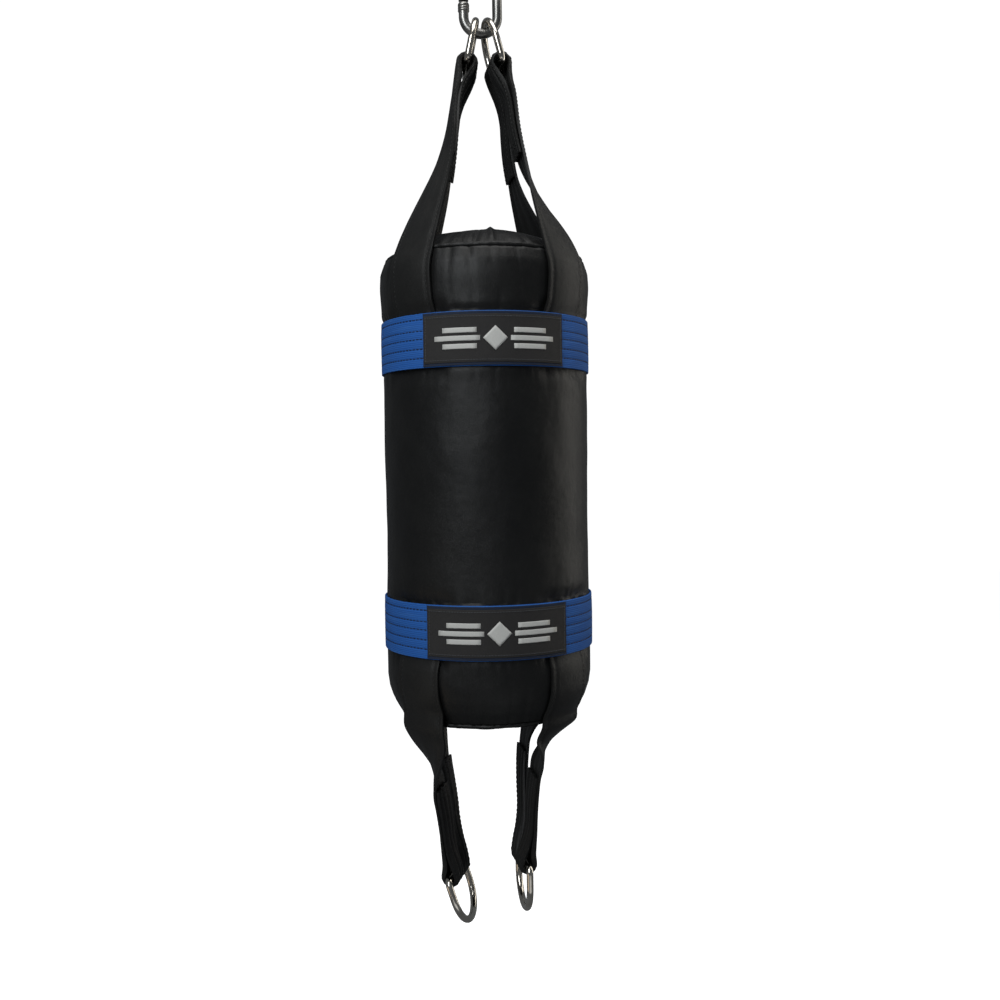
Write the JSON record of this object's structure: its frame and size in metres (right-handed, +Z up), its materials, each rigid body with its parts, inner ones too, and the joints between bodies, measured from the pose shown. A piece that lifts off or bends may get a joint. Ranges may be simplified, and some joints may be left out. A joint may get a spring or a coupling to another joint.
{
  "type": "hanging punching bag",
  "caption": "Stuffed vinyl punching bag with banded ends, hung from a snap carabiner by webbing legs and D-rings, with free tie-down legs and rings below.",
  "frame": {"origin": "the point where the inside of the carabiner's top bow rests on whatever the bag hangs from", "axes": "+Z up along the bag's own axis, -Y towards the labelled front, +X to the right as seen from the front"},
  "size_m": [0.2104, 0.2107, 0.9797],
  "materials": {
    "vinyl": "satin",
    "strap_vinyl": "satin",
    "blue_webbing": "matte",
    "label_cloth": "matte",
    "foam": "matte",
    "filling": "matte",
    "nickel": "polished",
    "steel": "satin"
  },
  "bodies": {
    "carabiner": {"carabiner_body": "steel", "gate_rivet": "steel"},
    "gate": {"carabiner_gate": "steel", "gate_plunger": "steel", "gate_spring": "steel"},
    "upper_rings": {"upper_left_d_ring": "nickel", "upper_right_d_ring": "nickel"},
    "bag": {"shell_side_panel": "vinyl", "shell_top_cap": "vinyl", "shell_bottom_cap": "vinyl", "top_seam_piping": "vinyl", "bottom_seam_piping": "vinyl", "foam_liner": "foam", "textile_filling": "filling", "upper_band": "blue_webbing", "lower_band": "blue_webbing", "upper_label": "label_cloth", "lower_label": "label_cloth", "upper_strap_front_left": "strap_vinyl", "upper_strap_back_left": "strap_vinyl", "upper_strap_front_right": "strap_vinyl", "upper_strap_back_right": "strap_vinyl", "lower_strap_root_front_left": "strap_vinyl", "lower_strap_root_back_left": "strap_vinyl", "lower_strap_root_front_right": "strap_vinyl", "lower_strap_root_back_right": "strap_vinyl"},
    "left_tie_down": {"lower_strap_front_left": "strap_vinyl", "lower_strap_back_left": "strap_vinyl"},
    "right_tie_down": {"lower_strap_front_right": "strap_vinyl", "lower_strap_back_right": "strap_vinyl"},
    "left_tie_ring": {"lower_left_d_ring": "nickel"},
    "right_tie_ring": {"lower_right_d_ring": "nickel"}
  },
  "joints": [
    {"name": "gate_opening", "type": "hinge", "parent": "carabiner", "child": "gate", "pos_m": [-0.017, 0, -0.017], "axis": [0, -1, 0], "range_deg": [0, 26], "stiffness_Nm_per_rad": 0.02, "springref_deg": -11.46},
    {"name": "bag_swing", "type": "hinge", "parent": "carabiner", "child": "upper_rings", "pos_m": [0, 0, -0.0737], "axis": [1, 0, 0], "range_deg": [-45, 45]},
    {"name": "bag_sway", "type": "hinge", "parent": "upper_rings", "child": "bag", "pos_m": [0.001, 0, -0.1111], "axis": [0, 1, 0], "range_deg": [-5, 5]},
    {"name": "left_tie_flex", "type": "hinge", "parent": "bag", "child": "left_tie_down", "pos_m": [-0.0691, 0, -0.755], "axis": [0, 1, 0], "range_deg": [-4, 16], "stiffness_Nm_per_rad": 0.1},
    {"name": "right_tie_flex", "type": "hinge", "parent": "bag", "child": "right_tie_down", "pos_m": [0.0655, 0, -0.755], "axis": [0, -1, 0], "range_deg": [-4, 16], "stiffness_Nm_per_rad": 0.1},
    {"name": "left_ring_turn", "type": "hinge", "parent": "left_tie_down", "child": "left_tie_ring", "pos_m": [-0.037, 0, -0.921], "axis": [0.2924, 0.9563, 0], "range_deg": [-60, 60]},
    {"name": "right_ring_turn", "type": "hinge", "parent": "right_tie_down", "child": "right_tie_ring", "pos_m": [0.0325, 0, -0.911], "axis": [-0.1045, 0.9945, 0], "range_deg": [-60, 60]}
  ]
}
